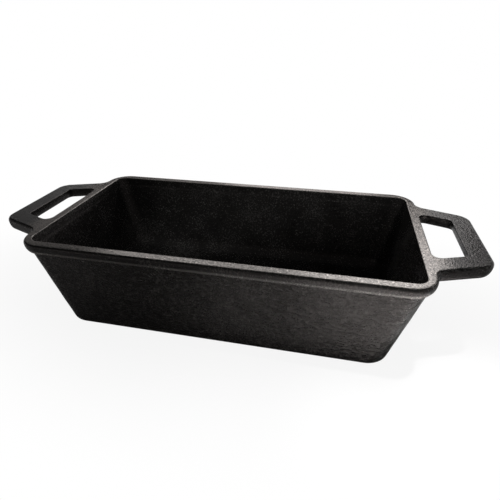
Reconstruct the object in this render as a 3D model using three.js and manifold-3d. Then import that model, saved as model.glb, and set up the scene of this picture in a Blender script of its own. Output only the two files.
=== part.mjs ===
// Cast iron loaf pan with a loop handle at each end.
// Millimetres, +Z up. The origin is the middle of the base, on the surface that the pan stands on.
// X runs along the pan from handle to handle, and the long front wall faces -Y.
// The real pan is one casting. Its floor, walls, rim and handles are separate solids here,
// cut apart on flat planes where they meet face to face.

import * as THREE from 'three';
import { mergeVertices } from 'three/addons/utils/BufferGeometryUtils.js';
import Module from 'manifold-3d';

const wasm = await Module();
wasm.setup();

// Mouth and height
const mouthLength = 254;
const mouthWidth = 126.5;
const panHeight = 68;
const mouthCornerRadius = 7.5;
const baseCornerRadius = 11;

// Draft of the walls, in degrees from upright
const endDraft = 13.3;
const sideDraft = 5.4;

// Metal
const wallThickness = 4;
const floorThickness = 5;
const floorCove = 8;
const baseEdgeRadius = 3;

// Rim, a flat flange that stands out past the walls and is level with the handles
const flangeThickness = 7.8;
const rimEndOverhang = 2.1;
const rimSideOverhang = 3.2;
const rimCornerRadius = 17;
const rimFillet = 0.4;
const rimTopRadius = 1.8;
const rimUnderWidth = 3.4;
const mouthEdgeRadius = 0.6;

// Upright stretch between the round on top of the rim's edge and the long round under it
const uprightEdge = 0.3;

// Handles, each a tapered loop around a finger gap
const handleReach = 35.2;
const handleSetback = 21.7;
const handleTaper = 20;
const handleCornerRadius = 11;
const handleRootRadius = 7;
const armWidth = 14.5;
const armTopRadius = 2.5;
const armUnderWidth = 1.8;
const armUnderHeight = 3.2;
const barWidth = 13.6;
const gapInnerRadius = 5;
const gapOuterRadius = 2.7;
const gapTopRadius = 0.7;
const gapUnderWidth = 3.5;
const handleSeam = 1.5;

// Fineness of the round stretches
const cornerSteps = 10;
const edgeSteps = 4;

// No corner of the cavity is sharper than this, and fillets fill no more than this share of an edge
const sharpestCorner = 0.5;
const filletShare = 0.98;

// Cutting tools run this far past what they cut
const cutterMargin = 20;

// Levels and half sizes that follow from the driving dimensions
const flangeUnderside = panHeight - flangeThickness;
const wallFoot = floorThickness + floorCove;
const rimHalfLength = mouthLength / 2 + wallThickness + rimEndOverhang;
const rimHalfWidth = mouthWidth / 2 + wallThickness + rimSideOverhang;
const handleEnd = rimHalfLength + handleReach;
const seamX = rimHalfLength + handleSeam;
const taper = THREE.MathUtils.degToRad(handleTaper);
const endSlope = Math.tan(THREE.MathUtils.degToRad(endDraft));
const sideSlope = Math.tan(THREE.MathUtils.degToRad(sideDraft));

// The rounded edges of the flange: around the rim, along the arms and in the finger gaps
const rimEdge = {
  topRadius: rimTopRadius,
  underWidth: rimUnderWidth,
  underHeight: flangeThickness - rimTopRadius - uprightEdge,
};
const armEdge = { topRadius: armTopRadius, underWidth: armUnderWidth, underHeight: armUnderHeight };
const gapEdge = {
  topRadius: gapTopRadius,
  underWidth: gapUnderWidth,
  underHeight: flangeThickness - gapTopRadius - uprightEdge,
};

// The arcs that round the corners of a counter-clockwise outline. Each corner is [x, y, radius].
// Where two fillets would meet on one edge, both give way in proportion.
function cornerArcs(corners) {
  const at = (i) => corners[(i + corners.length) % corners.length];
  const bends = corners.map(([x, y, radius], i) => {
    const point = new THREE.Vector2(x, y);
    const back = new THREE.Vector2(at(i - 1)[0], at(i - 1)[1]).sub(point);
    const ahead = new THREE.Vector2(at(i + 1)[0], at(i + 1)[1]).sub(point);
    const opening = Math.acos(back.dot(ahead) / (back.length() * ahead.length()));
    const reach = radius / Math.tan(opening / 2);
    return { point, back, ahead, opening, radius, reach, convex: ahead.cross(back) > 0 };
  });
  return bends.map((bend, i) => {
    const before = bends[(i + bends.length - 1) % bends.length];
    const after = bends[(i + 1) % bends.length];
    const room = Math.min(
      1,
      (filletShare * bend.back.length()) / (bend.reach + before.reach),
      (filletShare * bend.ahead.length()) / (bend.reach + after.reach),
    );
    const radius = bend.radius * room;
    const inwards = bend.back.clone().normalize().add(bend.ahead.clone().normalize()).normalize();
    const centre = bend.point.clone().addScaledVector(inwards, radius / Math.sin(bend.opening / 2));
    const start = bend.point.clone().addScaledVector(bend.back.clone().normalize(), bend.reach * room);
    const sweep = (Math.PI - bend.opening) * (bend.convex ? 1 : -1);
    return { centre, radius, convex: bend.convex, from: start.sub(centre).angle(), sweep };
  });
}

// One level of a solid: the outline drawn in by an inset, or let out where the inset is negative.
function ring(arcs, inset, z) {
  return arcs.flatMap((arc) => {
    const radius = arc.convex ? arc.radius - inset : arc.radius + inset;
    return Array.from({ length: cornerSteps + 1 }, (_, k) => {
      const angle = arc.from + (arc.sweep * k) / cornerSteps;
      return new THREE.Vector3(
        arc.centre.x + radius * Math.cos(angle),
        arc.centre.y + radius * Math.sin(angle),
        z,
      );
    });
  });
}

// A closed solid through a stack of rings with the same number of points.
// An endless loft joins its last ring to its first, and any other loft is capped.
function loft(rings, endless = false) {
  const count = rings[0].length;
  const index = [];
  const spans = endless ? rings.length : rings.length - 1;
  for (let level = 0; level < spans; level++) {
    const low = level * count;
    const high = ((level + 1) % rings.length) * count;
    for (let i = 0; i < count; i++) {
      const next = (i + 1) % count;
      index.push(low + i, low + next, high + next, low + i, high + next, high + i);
    }
  }
  if (!endless) {
    const last = (rings.length - 1) * count;
    for (const [a, b, c] of THREE.ShapeUtils.triangulateShape(rings[0], [])) {
      index.push(a, c, b);
    }
    for (const [a, b, c] of THREE.ShapeUtils.triangulateShape(rings.at(-1), [])) {
      index.push(last + a, last + b, last + c);
    }
  }
  const geometry = new THREE.BufferGeometry().setFromPoints(rings.flat());
  geometry.setIndex(index);
  return geometry;
}

// Steps of a rounded edge, from upright to level: how far in it has come, and how far along.
function quarterRound(width, height = width) {
  return Array.from({ length: edgeSteps + 1 }, (_, k) => {
    const angle = (Math.PI / 2) * (k / edgeSteps);
    return { across: width * (1 - Math.cos(angle)), along: height * Math.sin(angle) };
  });
}

function solid(geometry) {
  return new wasm.Manifold(new wasm.Mesh({
    numProp: 3,
    vertProperties: new Float32Array(geometry.getAttribute('position').array),
    triVerts: new Uint32Array(geometry.getIndex().array),
  }));
}

function geometryOf(manifold) {
  const mesh = manifold.getMesh();
  const geometry = new THREE.BufferGeometry();
  geometry.setAttribute('position', new THREE.BufferAttribute(mesh.vertProperties, 3));
  geometry.setIndex(new THREE.BufferAttribute(mesh.triVerts, 1));
  return geometry;
}

// One level of the tub: the plan of its cavity there, let out by a growth.
function tubRing(z, growth) {
  const halfLength = mouthLength / 2 - endSlope * (panHeight - z) + growth;
  const halfWidth = mouthWidth / 2 - sideSlope * (panHeight - z) + growth;
  const corner = THREE.MathUtils.lerp(baseCornerRadius, mouthCornerRadius, z / panHeight);
  const radius = Math.max(corner + growth, sharpestCorner);
  const plan = cornerArcs([
    [halfLength, -halfWidth, radius],
    [halfLength, halfWidth, radius],
    [-halfLength, halfWidth, radius],
    [-halfLength, -halfWidth, radius],
  ]);
  return ring(plan, 0, z);
}

// Floor: a shallow tray with a rounded base edge outside and a cove inside.
function floorGeometry() {
  const baseEdge = quarterRound(baseEdgeRadius).reverse();
  const cove = quarterRound(floorCove);
  return loft([
    ...baseEdge.map(({ across, along }) => tubRing(baseEdgeRadius - along, wallThickness - across)),
    tubRing(wallFoot, wallThickness),
    ...cove.map(({ across, along }) => tubRing(wallFoot - along, -across)),
  ]);
}

// Walls: one tapered band around the cavity, with a fillet where it turns out under the rim.
function wallsGeometry() {
  const fillet = quarterRound(rimFillet);
  const filletFoot = flangeUnderside - rimFillet;
  return loft([
    tubRing(wallFoot, wallThickness),
    ...fillet.map(({ across, along }) => tubRing(filletFoot + along, wallThickness + across)),
    tubRing(flangeUnderside, 0),
    tubRing(wallFoot, 0),
  ], true);
}

// Half width of the handles' outer edge at a distance from the middle of the pan.
function handleHalfWidth(x) {
  return rimHalfWidth - handleSetback - Math.tan(taper) * (x - rimHalfLength);
}

// How far a rounded edge of the flange has come in at a height.
function edgeInset(z, { topRadius, underWidth, underHeight }) {
  const rise = THREE.MathUtils.clamp(z - (panHeight - topRadius), 0, topRadius);
  const drop = THREE.MathUtils.clamp((flangeUnderside + underHeight - z) / underHeight, 0, 1);
  const top = topRadius - Math.sqrt(topRadius ** 2 - rise ** 2);
  const under = underWidth * (1 - Math.sqrt(1 - drop ** 2));
  return top + under;
}

// Heights at which an edge is drawn, from the underside of the flange to its top.
function edgeLevels(underHeight, topRadius) {
  const under = quarterRound(underHeight).map(({ along }) => flangeUnderside + underHeight - along);
  const top = quarterRound(topRadius).map(({ along }) => panHeight - topRadius + along);
  return [...under, ...top].sort((a, b) => a - b);
}

// One level of the flange: the outline of the rim with both handles, before the mouth and the gaps are cut.
// It is drawn in by one inset around the rim and by another along the arms.
function flangeRing(z, inset, armInset) {
  const end = rimHalfLength - inset;
  const side = rimHalfWidth - inset;
  const tip = handleEnd - inset;
  const armShift = armInset / Math.cos(taper);
  const root = handleHalfWidth(end) - armShift;
  const tipHalf = handleHalfWidth(tip) - armShift;
  const rightHalf = [
    [end, -side, rimCornerRadius - inset],
    [end, -root, handleRootRadius + armInset],
    [tip, -tipHalf, handleCornerRadius - armInset],
    [tip, tipHalf, handleCornerRadius - armInset],
    [end, root, handleRootRadius + armInset],
    [end, side, rimCornerRadius - inset],
  ];
  const leftHalf = rightHalf.map(([x, y, radius]) => [-x, -y, radius]);
  return ring(cornerArcs([...rightHalf, ...leftHalf]), 0, z);
}

// Outline of the right finger gap, from the end of the rim to the bar of the handle.
function gapPlan() {
  const inner = rimHalfLength;
  const outer = handleEnd - barWidth;
  const arm = armWidth / Math.cos(taper);
  const innerHalf = handleHalfWidth(inner) - arm;
  const outerHalf = handleHalfWidth(outer) - arm;
  return cornerArcs([
    [inner, -innerHalf, gapInnerRadius],
    [outer, -outerHalf, gapOuterRadius],
    [outer, outerHalf, gapOuterRadius],
    [inner, innerHalf, gapInnerRadius],
  ]);
}

// The flange as one plate with rounded edges.
function flangePlate() {
  const levels = edgeLevels(rimEdge.underHeight, armEdge.topRadius);
  return loft(levels.map((z) => flangeRing(z, edgeInset(z, rimEdge), edgeInset(z, armEdge))));
}

// Cutter for the mouth: the cavity carried up through the flange, flared to round the mouth's edge.
function mouthCutter() {
  const edge = quarterRound(mouthEdgeRadius);
  const edgeFoot = panHeight - mouthEdgeRadius;
  return loft([
    tubRing(flangeUnderside - cutterMargin, 0),
    ...edge.map(({ across, along }) => tubRing(edgeFoot + along, across)),
    tubRing(panHeight + cutterMargin, mouthEdgeRadius),
  ]);
}

// Cutter for the right finger gap, flared at both faces to round the gap's edges.
function gapCutter() {
  const plan = gapPlan();
  const levels = edgeLevels(gapEdge.underHeight, gapEdge.topRadius);
  return loft([
    ring(plan, -gapEdge.underWidth, flangeUnderside - cutterMargin),
    ...levels.map((z) => ring(plan, -edgeInset(z, gapEdge), z)),
    ring(plan, -gapEdge.topRadius, panHeight + cutterMargin),
  ]);
}

// A block across the whole flange between two distances along X, to part the handles from the rim.
function flangeBlock(fromX, toX) {
  const width = 2 * (rimHalfWidth + cutterMargin);
  const height = 2 * (panHeight + cutterMargin);
  const block = new THREE.BoxGeometry(toX - fromX, width, height);
  block.translate((fromX + toX) / 2, 0, 0);
  block.deleteAttribute('normal');
  block.deleteAttribute('uv');
  return mergeVertices(block);
}

// The flange with its mouth and gaps open, then cut into the rim and the two handles.
function flangePieces() {
  const flange = solid(flangePlate())
    .subtract(solid(mouthCutter()))
    .subtract(solid(gapCutter()))
    .subtract(solid(gapCutter().rotateZ(Math.PI)));
  const middle = solid(flangeBlock(-seamX, seamX));
  const rightSide = solid(flangeBlock(0, handleEnd + cutterMargin));
  const handles = flange.subtract(middle);
  return {
    rim: geometryOf(flange.intersect(middle)),
    left: geometryOf(handles.subtract(rightSide)),
    right: geometryOf(handles.intersect(rightSide)),
  };
}

// One piece of the casting, in black seasoned iron.
function ironPiece(name, geometry) {
  const iron = new THREE.MeshStandardMaterial({ color: 0x1d1c1b, roughness: 0.55, metalness: 0.5 });
  const mesh = new THREE.Mesh(geometry, iron);
  mesh.name = name;
  return mesh;
}

const flange = flangePieces();
const loafPan = new THREE.Group();
loafPan.add(
  ironPiece('pan_floor', floorGeometry()),
  ironPiece('pan_walls', wallsGeometry()),
  ironPiece('rim', flange.rim),
  ironPiece('left_handle', flange.left),
  ironPiece('right_handle', flange.right),
);

export default loafPan;
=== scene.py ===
import math

import bmesh
import bpy
from mathutils import Matrix, Vector, noise


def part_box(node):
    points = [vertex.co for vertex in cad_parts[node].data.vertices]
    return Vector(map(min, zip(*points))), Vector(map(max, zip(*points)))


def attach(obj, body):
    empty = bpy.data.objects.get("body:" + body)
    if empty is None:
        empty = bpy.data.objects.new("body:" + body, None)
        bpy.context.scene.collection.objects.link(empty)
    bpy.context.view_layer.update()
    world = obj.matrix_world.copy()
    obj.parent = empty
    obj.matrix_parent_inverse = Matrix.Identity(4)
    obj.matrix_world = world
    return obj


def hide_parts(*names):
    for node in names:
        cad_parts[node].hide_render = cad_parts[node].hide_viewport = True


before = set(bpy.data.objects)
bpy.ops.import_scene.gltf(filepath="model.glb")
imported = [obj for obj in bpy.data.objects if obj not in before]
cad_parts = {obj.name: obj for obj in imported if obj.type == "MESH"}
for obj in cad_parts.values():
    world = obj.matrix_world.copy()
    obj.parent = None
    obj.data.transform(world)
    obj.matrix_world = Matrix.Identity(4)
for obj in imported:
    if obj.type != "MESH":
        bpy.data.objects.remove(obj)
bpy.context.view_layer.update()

# Levels and reaches that the frame gives, in metres
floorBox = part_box("pan_floor")
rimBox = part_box("rim")
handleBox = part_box("right_handle")
panHeight = rimBox[1].z
flangeUnder = rimBox[0].z
wallFoot = floorBox[1].z                # the cove of the floor ends here
rimHalfWidth = rimBox[1].y
handleSeam = rimBox[1].x                # the handle is cut from the rim here
handleEnd = handleBox[1].x

tub = {
    "mouthLength": 0.254,               # inside, at the top of the rim
    "mouthWidth": 0.1265,
    "mouthCorner": 0.0075,              # corner radius of the cavity at the top
    "baseCorner": 0.011,                # and at the base
    "endDraft": math.radians(13.3),
    "sideDraft": math.radians(5.4),
    "wall": 0.004,
    "baseEdge": 0.003,
    "mouthEdge": 0.0006,
    "rimFillet": 0.0004,                # where the wall turns out under the rim
    "cove": 0.008,
    "meshStep": 0.0018,
    "cornerSteps": 12,
    "edgeSteps": 6,
}

flange = {
    "endOverhang": 0.0021,              # past the outside of the end wall
    "corner": 0.017,                    # corner radius of the rim, seen from above
    "topEdge": 0.0018,                  # the small round on the edge
    "underWidth": 0.0034,               # the long round under the edge
    "underHeight": 0.0057,
    "meshStep": 0.017,
    "cornerSteps": 16,
    "edgeSteps": 8,
}

handle = {
    "setback": 0.0217,                  # from the side of the rim to the arm
    "taper": math.radians(20),
    "corner": 0.011,                    # outer corner radius, at the bar
    "root": 0.007,                      # radius of the blend where an arm leaves the rim
    "arm": 0.0145,                      # width of an arm
    "armEdge": 0.0025,                  # the arms are rounder on top than the rim
    "armUnderWidth": 0.0018,
    "armUnderHeight": 0.0032,
    "bar": 0.0136,                      # width of the bar
    "gapInner": 0.005,                  # corner radius of the finger gap at the rim
    "gapOuter": 0.0027,                 # and at the bar
    "gapEdge": 0.0007,
    "gapUnderWidth": 0.0035,
    "gapUnderHeight": 0.0068,
}

rimHalfLength = tub["mouthLength"] / 2 + tub["wall"] + flange["endOverhang"]
filletFoot = flangeUnder - tub["rimFillet"]


def quarterRound(width, height, steps):
    # how far a rounded edge has come across and up, from its upright end
    angles = [math.pi / 2 * step / steps for step in range(steps + 1)]
    return [(width * (1 - math.cos(angle)), height * math.sin(angle)) for angle in angles]


def looseLoop(vert):
    # every edge of the loop that a loose vertex lies on, in order
    edges = [vert.link_edges[0]]
    at = edges[0].other_vert(vert)
    while at != vert:
        edges += [edge for edge in at.link_edges if edge != edges[-1]]
        at = edges[-1].other_vert(at)
    return edges


def roundedRing(bm, corners, z, steps):
    # a flat outline whose corners are bevelled round, kept as a loop of edges
    verts = [bm.verts.new((x, y, z)) for x, y, radius in corners]
    bm.faces.new(verts)
    points = [Vector((x, y)) for x, y, radius in corners]
    for index, vert in enumerate(verts):
        back = points[index - 1] - points[index]
        ahead = points[(index + 1) % len(points)] - points[index]
        reach = corners[index][2] / math.tan(back.angle(ahead) / 2)     # from the corner to its arc
        arc = bmesh.ops.bevel(bm, geom=[vert], offset=reach, offset_type="OFFSET", segments=steps,
                              profile=0.5, affect="VERTICES", clamp_overlap=False, material=-1)
    start = arc["verts"][0]
    bmesh.ops.delete(bm, geom=start.link_faces[:], context="FACES_ONLY")
    return looseLoop(start)


def loft(bm, rings, step):
    # skins between the rings, with tall skins cut into bands
    for low, high in zip(rings, rings[1:]):
        skin = bmesh.ops.bridge_loops(bm, edges=low + high)
        ribs = skin["edges"]
        bands = round(ribs[0].calc_length() / step)
        if bands > 1:
            bmesh.ops.subdivide_edges(bm, edges=ribs, cuts=bands - 1, use_grid_fill=True)


def tubRing(bm, z, growth):
    # the plan of the cavity at a height, let out by a growth
    halfLength = tub["mouthLength"] / 2 - math.tan(tub["endDraft"]) * (panHeight - z) + growth
    halfWidth = tub["mouthWidth"] / 2 - math.tan(tub["sideDraft"]) * (panHeight - z) + growth
    rise = z / panHeight
    radius = tub["baseCorner"] * (1 - rise) + tub["mouthCorner"] * rise + growth
    corners = [(halfLength, -halfWidth, radius), (halfLength, halfWidth, radius),
               (-halfLength, halfWidth, radius), (-halfLength, -halfWidth, radius)]
    ring = roundedRing(bm, corners, z, tub["cornerSteps"])
    runs = sorted(ring, key=lambda edge: -edge.calc_length())[:4]       # the straight sides
    for pair, length in ((runs[:2], tub["mouthLength"]), (runs[2:], tub["mouthWidth"])):
        bmesh.ops.subdivide_edges(bm, edges=pair, cuts=round(length / tub["meshStep"]) - 1)
    return looseLoop(ring[-1].verts[0])


def armHalfWidth(x):
    # half the width of the handle's outline at a distance from the middle
    return rimHalfWidth - handle["setback"] - math.tan(handle["taper"]) * (x - rimHalfLength)


def flangeRing(bm, z, inset, armInset):
    # rim and handles in one outline, with one inset for the rim and bars and one for the arms
    end, side, tip = rimHalfLength - inset, rimHalfWidth - inset, handleEnd - inset
    slant = armInset / math.cos(handle["taper"])
    right = [(end, -side, flange["corner"] - inset),
             (end, slant - armHalfWidth(end), handle["root"] + armInset),
             (tip, slant - armHalfWidth(tip), handle["corner"] - armInset),
             (tip, armHalfWidth(tip) - slant, handle["corner"] - armInset),
             (end, armHalfWidth(end) - slant, handle["root"] + armInset),
             (end, side, flange["corner"] - inset)]
    left = [(-x, -y, radius) for x, y, radius in right]
    return roundedRing(bm, right + left, z, flange["cornerSteps"])


def gapRing(bm, z, growth, side):
    # a finger gap, let out by a growth; its side is 1 for the right and -1 for the left
    inner, outer = rimHalfLength - growth, handleEnd - handle["bar"] + growth
    arm = (handle["arm"] - growth) / math.cos(handle["taper"])
    innerHalf, outerHalf = armHalfWidth(inner) - arm, armHalfWidth(outer) - arm
    corners = [(inner, -innerHalf, handle["gapInner"] + growth),
               (outer, -outerHalf, handle["gapOuter"] + growth),
               (outer, outerHalf, handle["gapOuter"] + growth),
               (inner, innerHalf, handle["gapInner"] + growth)]
    turned = [(side * x, side * y, radius) for x, y, radius in corners]
    return roundedRing(bm, turned, z, flange["cornerSteps"])


def tubSkins(bm):
    # outside from the base up, inside from the mouth down
    base = quarterRound(tub["baseEdge"], tub["baseEdge"], tub["edgeSteps"])
    fillet = quarterRound(tub["rimFillet"], tub["rimFillet"], tub["edgeSteps"])
    mouth = quarterRound(tub["mouthEdge"], tub["mouthEdge"], tub["edgeSteps"])
    cove = quarterRound(tub["cove"], tub["cove"], tub["edgeSteps"])
    mouthFoot = panHeight - tub["mouthEdge"]
    outside = [tubRing(bm, tub["baseEdge"] - up, tub["wall"] - across) for across, up in reversed(base)]
    outside += [tubRing(bm, filletFoot + up, tub["wall"] + across) for across, up in fillet]
    inside = [tubRing(bm, mouthFoot + up, across) for across, up in reversed(mouth)]
    inside += [tubRing(bm, wallFoot - down, -across) for across, down in cove]
    loft(bm, outside, tub["meshStep"])
    loft(bm, inside, tub["meshStep"])
    bmesh.ops.contextual_create(bm, geom=outside[0])
    bmesh.ops.contextual_create(bm, geom=inside[-1])
    return outside[-1], inside[0]


def edgeInset(z, topRadius, underWidth, underHeight):
    # how far the rounded edge of the flange has come in at a height
    rise = min(max(z - (panHeight - topRadius), 0), topRadius)
    drop = min(max(flangeUnder + underHeight - z, 0) / underHeight, 1)
    topInset = topRadius - math.sqrt(topRadius * topRadius - rise * rise)
    return topInset + underWidth * (1 - math.sqrt(1 - drop * drop))


def edgeLevels(topRadius, underHeight):
    # heights at which an edge is drawn, from the underside up
    steps = flange["edgeSteps"]
    under = [flangeUnder + underHeight - down for across, down in quarterRound(0, underHeight, steps)]
    top = [panHeight - topRadius + up for across, up in quarterRound(0, topRadius, steps)]
    return sorted(under + top)


def flangeSkins(bm):
    # the edge all round and both finger gaps, each from the underside up
    rimEdge = flange["topEdge"], flange["underWidth"], flange["underHeight"]
    armEdge = handle["armEdge"], handle["armUnderWidth"], handle["armUnderHeight"]
    gapEdge = handle["gapEdge"], handle["gapUnderWidth"], handle["gapUnderHeight"]
    outerLevels = edgeLevels(handle["armEdge"], flange["underHeight"])
    gapLevels = edgeLevels(handle["gapEdge"], handle["gapUnderHeight"])
    outlines = [[flangeRing(bm, z, edgeInset(z, *rimEdge), edgeInset(z, *armEdge)) for z in outerLevels]]
    outlines += [[gapRing(bm, z, edgeInset(z, *gapEdge), side) for z in gapLevels] for side in (1, -1)]
    for rings in outlines:
        loft(bm, rings, flange["meshStep"])
    undersides = [edge for rings in outlines for edge in rings[0]]
    tops = [edge for rings in outlines for edge in rings[-1]]
    return undersides, tops


def makeCasting():
    bm = bmesh.new()
    wallTop, mouthRing = tubSkins(bm)
    undersides, tops = flangeSkins(bm)
    # flat faces under and on top of the flange join its edges to the tub
    bmesh.ops.triangle_fill(bm, edges=undersides + wallTop, use_beauty=True)
    bmesh.ops.triangle_fill(bm, edges=tops + mouthRing, use_beauty=True)
    bmesh.ops.recalc_face_normals(bm, faces=bm.faces[:])
    return bm


def smoothStep(value):
    share = min(max(value, 0), 1)
    return share * share * (3 - 2 * share)


unevenness = {                          # soft waves that the sand mould leaves in the walls
    "depth": 0.00016,
    "perMetre": 90,
    "fade": 0.006,                      # the waves die out towards the rim and the base
}


def addUnevenness(bm):
    low, high = tub["baseEdge"], filletFoot
    for vert in bm.verts:
        room = min(vert.co.z - low, high - vert.co.z)
        swell = noise.noise(vert.co * unevenness["perMetre"])
        vert.co += vert.normal * unevenness["depth"] * swell * smoothStep(room / unevenness["fade"])


wear = {                                # how far the seasoning is rubbed off
    "seamHeight": 0.0622,               # the mould's seam runs round the foot of the rim
    "seamHalf": 0.0026,
    "seamFade": 0.006,                  # it dies out before the handles
    "seam": 0.62,
    "mouth": 0.4,
}


def markFinish(bm):
    # what the finish needs to know of a point: in the cavity or not, and how worn
    insideLayer = bm.verts.layers.float.new("inside")
    wornLayer = bm.verts.layers.float.new("worn")
    seamEnd = armHalfWidth(rimHalfLength) + handle["root"]
    for vert in bm.verts:
        x, y, z = abs(vert.co.x), abs(vert.co.y), vert.co.z
        depth = panHeight - z
        endRoom = (tub["mouthLength"] + tub["wall"]) / 2 - math.tan(tub["endDraft"]) * depth - x
        sideRoom = (tub["mouthWidth"] + tub["wall"]) / 2 - math.tan(tub["sideDraft"]) * depth - y
        if min(endRoom, sideRoom) > 0 and z > tub["baseEdge"]:
            inside = smoothStep(depth / tub["mouthEdge"])
            vert[insideLayer] = inside
            vert[wornLayer] = wear["mouth"] * 4 * inside * (1 - inside)     # most in mid edge
        else:
            seam = smoothStep(1 - abs(z - wear["seamHeight"]) / wear["seamHalf"])
            vert[wornLayer] = wear["seam"] * seam * smoothStep((y - seamEnd) / wear["seamFade"])


cutTolerance = 1e-7                     # a point this near to a cut lies on it, in metres


def cutPiece(casting, name, node, cuts, material):
    # a region of the casting, closed where it is cut from the rest
    bm = casting.copy()
    for place, cutAway in cuts:
        cut = bmesh.ops.bisect_plane(bm, geom=bm.verts[:] + bm.edges[:] + bm.faces[:], dist=cutTolerance,
                                     plane_co=place, plane_no=cutAway, clear_outer=True)
        border = [part for part in cut["geom_cut"] if isinstance(part, bmesh.types.BMEdge)]
        bmesh.ops.triangle_fill(bm, edges=border, use_beauty=True)
        for edge in border:
            edge.smooth = False
    bmesh.ops.recalc_face_normals(bm, faces=bm.faces[:])
    for face in bm.faces:
        face.smooth = True
    openEdges = sum(not edge.is_manifold for edge in bm.edges)
    mesh = bpy.data.meshes.new(name)
    bm.to_mesh(mesh)
    bm.free()
    piece = bpy.data.objects.new(name, mesh)
    bpy.context.scene.collection.objects.link(piece)
    mesh.materials.append(material)
    flat = piece.modifiers.new("flat faces stay flat", "WEIGHTED_NORMAL")
    flat.keep_sharp = True
    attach(piece, "root")
    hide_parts(node)
    print(name, len(mesh.polygons), "faces,", openEdges, "open edges")


class Socket:
    # one output of a node; + - and * on it add Math nodes
    def __init__(self, tree, output):
        self.tree = tree
        self.output = output

    def mathNode(self, operation, first, second):
        return addNode(self.tree, "ShaderNodeMath", {"operation": operation}, {0: first, 1: second})

    def __add__(self, other):
        return self.mathNode("ADD", self, other)

    def __radd__(self, other):
        return self.mathNode("ADD", other, self)

    def __sub__(self, other):
        return self.mathNode("SUBTRACT", self, other)

    def __rsub__(self, other):
        return self.mathNode("SUBTRACT", other, self)

    def __mul__(self, other):
        return self.mathNode("MULTIPLY", self, other)

    def __rmul__(self, other):
        return self.mathNode("MULTIPLY", other, self)


def addNode(tree, kind, settings, sockets, output=0):
    # sockets and the output go by name, or by place among those in use
    node = tree.nodes.new(kind)
    for key, value in settings.items():
        if key == "stops":
            for element, (position, colour) in zip(node.color_ramp.elements, value):
                element.position = position
                element.color = colour
        else:
            setattr(node, key, value)
    usedInputs = [socket for socket in node.inputs if socket.enabled]
    for key, value in sockets.items():
        target = next(socket for place, socket in enumerate(usedInputs) if key in (place, socket.name))
        if isinstance(value, Socket):
            tree.links.new(value.output, target)
        else:
            target.default_value = value
    usedOutputs = [socket for socket in node.outputs if socket.enabled]
    found = [socket for place, socket in enumerate(usedOutputs) if output in (place, socket.name)]
    return Socket(tree, found[0]) if found else None


def emptyTree(owner):
    # the node tree of a new material or world, cleared
    owner.use_nodes = True
    owner.node_tree.nodes.clear()
    return owner.node_tree


def fade(value, start, end, low=0, high=1):
    # goes softly from low to high while the value goes from start to end
    return addNode(value.tree, "ShaderNodeMapRange", {"interpolation_type": "SMOOTHSTEP"},
                   {"Value": value, "From Min": start, "From Max": end, "To Min": low, "To Max": high})


def between(low, high, share):
    # low where the share is 0 and high where it is 1
    return low + (high - low) * share


def axisOf(vector, axis):
    return addNode(vector.tree, "ShaderNodeSeparateXYZ", {}, {0: vector}, axis)


def lengthOf(vector):
    return addNode(vector.tree, "ShaderNodeVectorMath", {"operation": "LENGTH"}, {0: vector}, "Value")


def scaled(vector, factors):
    return addNode(vector.tree, "ShaderNodeVectorMath", {"operation": "MULTIPLY"},
                   {0: vector, 1: factors})


def noiseTexture(vector, setting):
    return addNode(vector.tree, "ShaderNodeTexNoise", {}, {"Vector": vector, **setting})


def mixColour(factor, first, second):
    return addNode(factor.tree, "ShaderNodeMix", {"data_type": "RGBA"},
                   {"Factor": factor, "A": first, "B": second})


noiseMiddle = 0.5                       # a noise texture varies about this value

iron = {
    "dark": (0.012, 0.0117, 0.0112, 1),
    "warm": (0.026, 0.025, 0.0238, 1),
    "darkAt": 0.35,                     # the patches run from dark to warm between these two
    "warmAt": 0.7,
    # painted glints: pale flecks in the colour stand in for light caught by the grain
    "glintFleck": (0.1, 0.0975, 0.0925, 1),
    "glintRange": (0.55, 0.76),         # grain where a fleck starts and where it is full
    "glintClouds": 0.2,                 # how far the flecks gather in the warm patches
    "glintsOutside": 0.2,               # share of them that shows outside the cavity
    "bare": (0.36, 0.34, 0.32, 1),      # where the seasoning is rubbed off
    "bareMetal": 0.9,
    "bareRange": (0.15, 0.85),          # wear where bare metal starts and where it is full
    "rimWear": 0.46,                    # on the flat of the rim
    "rimWearReach": 0.022,              # it fades out over this length of the handles
    "rimSpeckle": 2.5,                  # how far the grain breaks it up
    "ridgeWear": 0.12,                  # on the high spots of the pebbles
    "ridgeRange": (0.48, 0.66),         # pebble height where it starts and where it is full
    "specular": 0.46,
    "glossTint": (1, 0.88, 0.84, 1),
    "roughness": 0.26,
    "topRoughness": 0.2,                # the flat top is smoother than the sand-cast walls
    "roughnessSpread": 0.12,            # what patches and grain change it by
    "topEdge": 0.0004,                  # the flat top ends this far down
    "rimFade": 0.002,                   # the pebbles end at the foot of the rim
    "patches": {"Scale": 38, "Detail": 3, "Roughness": 0.6},        # all scales are per metre
    "grain": {"Scale": 900, "Detail": 1.5, "Roughness": 0.55},
    "pebbles": {"Scale": 520, "Detail": 2, "Roughness": 0.6},
    "pebbleStretch": (0.52, 0.52, 1),   # the pebbles are about twice as wide as they are high
    "pebbleDepth": 0.0012,
    "pebblesInside": 0.3,               # share of that depth in the cavity
    "grainDepth": 0.0003,
    "wallGrain": 0.75,                  # share of that depth below the flat top
    "rimSmoothing": 1.5,                # how far wear takes the grain off the rim
}


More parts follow.
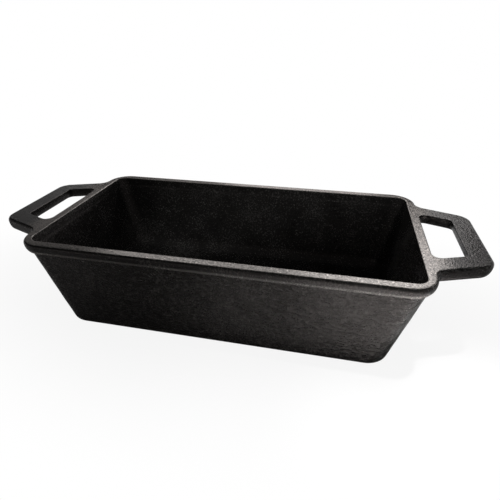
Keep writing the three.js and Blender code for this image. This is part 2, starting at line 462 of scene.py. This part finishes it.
def seasonedIron():
    material = bpy.data.materials.new("seasoned_iron")
    tree = emptyTree(material)
    place = addNode(tree, "ShaderNodeTexCoord", {}, {}, "Object")
    inside = addNode(tree, "ShaderNodeAttribute", {"attribute_name": "inside"}, {}, "Fac")
    edgeWear = addNode(tree, "ShaderNodeAttribute", {"attribute_name": "worn"}, {}, "Fac")

    # the flat top, the tub below the rim, and the part of the top that is rubbed
    height = axisOf(place, "Z")
    reach = addNode(tree, "ShaderNodeMath", {"operation": "ABSOLUTE"}, {0: axisOf(place, "X")})
    onTop = fade(height, panHeight - iron["topEdge"], panHeight)
    belowRim = fade(height, flangeUnder, flangeUnder + iron["rimFade"], low=1, high=0)
    onRim = fade(reach, rimHalfLength, rimHalfLength + iron["rimWearReach"], low=iron["rimWear"], high=0)
    ground = onTop * onRim

    patches = noiseTexture(place, iron["patches"])
    grain = noiseTexture(place, iron["grain"])
    pebbles = noiseTexture(scaled(place, iron["pebbleStretch"]), iron["pebbles"])
    cloud = patches - noiseMiddle
    speck = grain - noiseMiddle

    # black seasoning with pale flecks that are painted glints of light, mostly in the cavity, rubbed
    # down to bare metal in places
    stops = [(iron["darkAt"], iron["dark"]), (iron["warmAt"], iron["warm"])]
    seasoning = addNode(tree, "ShaderNodeValToRGB", {"stops": stops}, {"Fac": patches})
    paintedGlints = fade(grain + iron["glintClouds"] * cloud, *iron["glintRange"])
    withPaintedGlints = mixColour(paintedGlints * between(iron["glintsOutside"], 1, inside), seasoning, iron["glintFleck"])
    worn = edgeWear + ground * (1 + iron["rimSpeckle"] * speck)
    ridges = fade(pebbles, *iron["ridgeRange"], high=iron["ridgeWear"])
    bare = fade(worn, *iron["bareRange"]) + ridges * belowRim * (1 - inside)
    colour = mixColour(bare, withPaintedGlints, iron["bare"])

    evenRoughness = between(iron["roughness"], iron["topRoughness"], onTop)
    roughness = evenRoughness + iron["roughnessSpread"] * (cloud + speck)
    pebbleHeight = pebbles * belowRim * between(1, iron["pebblesInside"], inside)
    coarse = addNode(tree, "ShaderNodeBump", {},
                     {"Strength": 1, "Distance": iron["pebbleDepth"], "Height": pebbleHeight})
    grainHeight = grain * (between(iron["wallGrain"], 1, onTop) - iron["rimSmoothing"] * ground)
    fine = addNode(tree, "ShaderNodeBump", {},
                   {"Strength": 1, "Distance": iron["grainDepth"], "Height": grainHeight,
                    "Normal": coarse})
    surface = addNode(tree, "ShaderNodeBsdfPrincipled", {},
                      {"Base Color": colour, "Roughness": roughness,
                       "Metallic": iron["bareMetal"] * bare, "Normal": fine,
                       "Specular IOR Level": iron["specular"], "Specular Tint": iron["glossTint"]})
    addNode(tree, "ShaderNodeOutputMaterial", {}, {"Surface": surface})
    return material


plainWhite = (1, 1, 1, 1)

floor = {
    "size": 12,
    "drop": 0.0003,                     # just under the base
    "paint": (0.9, 0.9, 0.9, 1),
    "whiteOver": 0.9,                   # share of plain white that lies over the shadow
    "shadowFrom": 0.06,                 # across the pan, the shadow fades to white between these two
    "shadowTo": 0.17,
    "oval": (0.5, 1, 1),                # and along the pan it reaches twice as far
    "mirrorFrom": 0.5,                  # the floor that the iron mirrors fades to white between these
    "mirrorTo": 1.2,
}


def seenBy(tree, *rays):
    # 1 for a ray of one of these kinds
    seen = 0
    for ray in rays:
        seen = seen + addNode(tree, "ShaderNodeLightPath", {}, {}, ray)
    return addNode(tree, "ShaderNodeClamp", {}, {"Value": seen})


def paleFloor():
    material = bpy.data.materials.new("pale_floor")
    tree = emptyTree(material)
    place = addNode(tree, "ShaderNodeTexCoord", {}, {}, "Object")
    far = fade(lengthOf(place), floor["mirrorFrom"], floor["mirrorTo"])
    ovalDistance = lengthOf(scaled(place, floor["oval"]))
    pastShadow = fade(ovalDistance, floor["shadowFrom"], floor["shadowTo"], low=floor["whiteOver"])
    paint = addNode(tree, "ShaderNodeBsdfDiffuse", {}, {"Color": floor["paint"]})
    white = addNode(tree, "ShaderNodeEmission", {}, {"Color": plainWhite, "Strength": 1})
    clear = addNode(tree, "ShaderNodeBsdfTransparent", {}, {})
    below = addNode(tree, "ShaderNodeNewGeometry", {}, {}, "Backfacing")
    inView = pastShadow * seenBy(tree, "Is Camera Ray")
    inGloss = far * seenBy(tree, "Is Glossy Ray", "Is Transmission Ray")
    shown = addNode(tree, "ShaderNodeMixShader", {}, {0: inView + inGloss, 1: paint, 2: white})
    sided = addNode(tree, "ShaderNodeMixShader", {}, {0: below, 1: shown, 2: clear})
    addNode(tree, "ShaderNodeOutputMaterial", {}, {"Surface": sided})
    return material


def makeFloor():
    bm = bmesh.new()
    bmesh.ops.create_grid(bm, x_segments=1, y_segments=1, size=floor["size"] / 2)
    bmesh.ops.translate(bm, vec=(0, 0, -floor["drop"]), verts=bm.verts[:])
    mesh = bpy.data.meshes.new("studio_floor")
    bm.to_mesh(mesh)
    bm.free()
    mesh.materials.append(paleFloor())
    ground = bpy.data.objects.new("studio_floor", mesh)
    bpy.context.scene.collection.objects.link(ground)


studio = {
    "worldLight": 0.07,                 # even light from all round
    "whiteBelow": 0.02,                 # the backdrop is white up to here, as the sine of the height
    "dimAbove": 0.24,                   # and dims to the ceiling by here
    "ceiling": 0.06,
    "band": 0.16,                       # a bright band on the sides and in front, for the other views
    "bandFrom": (0.06, 0.16),           # it fades in and out, as the sine of the height
    "bandTo": (0.36, 0.5),
    "front": 0.035,                     # the room on the camera's side
    "frontTo": -0.15,                   # it turns into the backdrop here, as the Y of a direction
    "backFrom": 0.35,
    "leftFrom": 0.4,                    # the backdrop ends on the left, as the X of a direction
    "leftTo": 0.75,
    "leftDim": 0.75,
    # roll and spread are in degrees; a lamp that isn't mirrored lights a place and makes no highlight
    "lamps": [
        # four stand behind the pan and make its highlights
        {"name": "back_softbox", "place": (0.23, 1.05, 0.79), "aim": (0.05, 0, panHeight), "roll": 15,
         "size": (0.54, 0.32), "watts": 2.5, "spread": 180, "mirrored": True},
        {"name": "back_low", "place": (-0.05, 1.05, 0.42), "aim": (0, 0, panHeight), "roll": 0,
         "size": (0.5, 0.2), "watts": 0.5, "spread": 180, "mirrored": True},
        {"name": "back_fill", "place": (-0.42, 1.05, 0.8), "aim": (0, 0, panHeight), "roll": 0,
         "size": (0.76, 0.45), "watts": 1.8, "spread": 180, "mirrored": True},
        {"name": "back_left", "place": (-1.15, 1.05, 0.58), "aim": (0, 0, panHeight), "roll": 0,
         "size": (0.5, 0.3), "watts": 0.15, "spread": 180, "mirrored": True},
        # three light the floor in front, which the front wall mirrors
        {"name": "floor_softbox", "place": (0.14, -0.169, 1.1), "aim": (0.14, -0.168, 0), "roll": 0,
         "size": (0.13, 0.17), "watts": 0.115, "spread": 5, "mirrored": False},
        {"name": "floor_left", "place": (0.075, -0.169, 1.1), "aim": (0.075, -0.168, 0), "roll": 0,
         "size": (0.18, 0.17), "watts": 0.048, "spread": 6, "mirrored": False},
        {"name": "floor_right", "place": (0.17, -0.066, 1.1), "aim": (0.17, -0.065, 0), "roll": 0,
         "size": (0.07, 0.05), "watts": 0.019, "spread": 4, "mirrored": False},
        # and one lights the inside of the back wall
        {"name": "inside_softbox", "place": (0.2, -0.48, 0.87), "aim": (0.046, 0.062, panHeight),
         "roll": 0, "size": (0.3, 0.04), "watts": 0.0175, "spread": 5, "mirrored": False},
    ],
}


def makeWorld():
    world = bpy.data.worlds.new("studio")
    bpy.context.scene.world = world
    tree = emptyTree(world)
    inView = seenBy(tree, "Is Camera Ray")
    inGloss = seenBy(tree, "Is Glossy Ray", "Is Transmission Ray")
    direction = addNode(tree, "ShaderNodeTexCoord", {}, {}, "Generated")
    rise = axisOf(direction, "Z")
    behind = fade(axisOf(direction, "Y"), studio["frontTo"], studio["backFrom"])
    pastLeft = fade(-1 * axisOf(direction, "X"), studio["leftFrom"], studio["leftTo"])
    backdrop = fade(rise, studio["whiteBelow"], studio["dimAbove"], low=1, high=studio["ceiling"])
    paper = backdrop * (1 - studio["leftDim"] * pastLeft)
    inBand = fade(rise, *studio["bandFrom"]) * fade(rise, *studio["bandTo"], low=1, high=0)
    room = studio["front"] + studio["band"] * inBand
    mirrored = between(room, paper, behind)
    level = inView + inGloss * mirrored + (1 - inView - inGloss) * studio["worldLight"]
    sky = addNode(tree, "ShaderNodeBackground", {}, {"Color": plainWhite, "Strength": level})
    addNode(tree, "ShaderNodeOutputWorld", {}, {"Surface": sky})


def facing(place, aim, roll):
    # at a place, looking at its aim
    turn = (Vector(aim) - Vector(place)).to_track_quat("-Z", "Y").to_matrix().to_4x4()
    return Matrix.Translation(place) @ turn @ Matrix.Rotation(math.radians(roll), 4, "Z")


def makeLamps():
    for lamp in studio["lamps"]:
        light = bpy.data.lights.new(lamp["name"], "AREA")
        light.shape = "RECTANGLE"
        light.size, light.size_y = lamp["size"]
        light.energy = lamp["watts"]
        light.spread = math.radians(lamp["spread"])
        holder = bpy.data.objects.new(lamp["name"], light)
        holder.matrix_world = facing(lamp["place"], lamp["aim"], lamp["roll"])
        holder.visible_glossy = lamp["mirrored"]
        bpy.context.scene.collection.objects.link(holder)


camera = {
    "place": (0.07126, -0.26047, 0.19292),
    "yaw": math.radians(-12.91),        # turned from +Y towards +X
    "pitch": math.radians(29.59),       # looking down
    "roll": math.radians(0.49),
    "focalShare": 0.8,                  # focal length as a share of the picture's width
    "sensor": 36,                       # in millimetres
    "clipStart": 0.01,
}


def makeCamera():
    yaw, pitch, roll = camera["yaw"], camera["pitch"], camera["roll"]
    levelPart = math.cos(pitch)
    forward = Vector((math.sin(yaw) * levelPart, math.cos(yaw) * levelPart, -math.sin(pitch)))
    level = Vector((math.cos(yaw), -math.sin(yaw), 0))
    down = forward.cross(level)
    right = math.cos(roll) * level + math.sin(roll) * down
    up = math.sin(roll) * level - math.cos(roll) * down
    data = bpy.data.cameras.new("camera")
    data.sensor_width = camera["sensor"]
    data.lens = camera["focalShare"] * camera["sensor"]
    data.clip_start = camera["clipStart"]
    view = bpy.data.objects.new("camera", data)
    turn = Matrix((right, up, -forward)).transposed().to_4x4()
    view.matrix_world = Matrix.Translation(camera["place"]) @ turn
    bpy.context.scene.collection.objects.link(view)
    bpy.context.scene.camera = view


makeCamera()
makeWorld()
makeLamps()
makeFloor()
print("studio ready")

casting = makeCasting()
addUnevenness(casting)
markFinish(casting)
print("casting:", len(casting.faces), "faces")
ironFinish = seasonedIron()
print("seasoned iron ready")

# a cut is a point on its plane and the direction in which the rest is taken away
upX, upZ = Vector((1, 0, 0)), Vector((0, 0, 1))
cutPiece(casting, "floor_iron", "pan_floor", [(upZ * wallFoot, upZ)], ironFinish)
cutPiece(casting, "walls_iron", "pan_walls",
         [(upZ * wallFoot, -upZ), (upZ * filletFoot, upZ)], ironFinish)
cutPiece(casting, "rim_iron", "rim",
         [(upZ * filletFoot, -upZ), (upX * handleSeam, upX), (-upX * handleSeam, -upX)], ironFinish)
cutPiece(casting, "left_handle_iron", "left_handle", [(-upX * handleSeam, upX)], ironFinish)
cutPiece(casting, "right_handle_iron", "right_handle", [(upX * handleSeam, -upX)], ironFinish)
casting.free()

bpy.context.scene.view_settings.view_transform = "Standard"
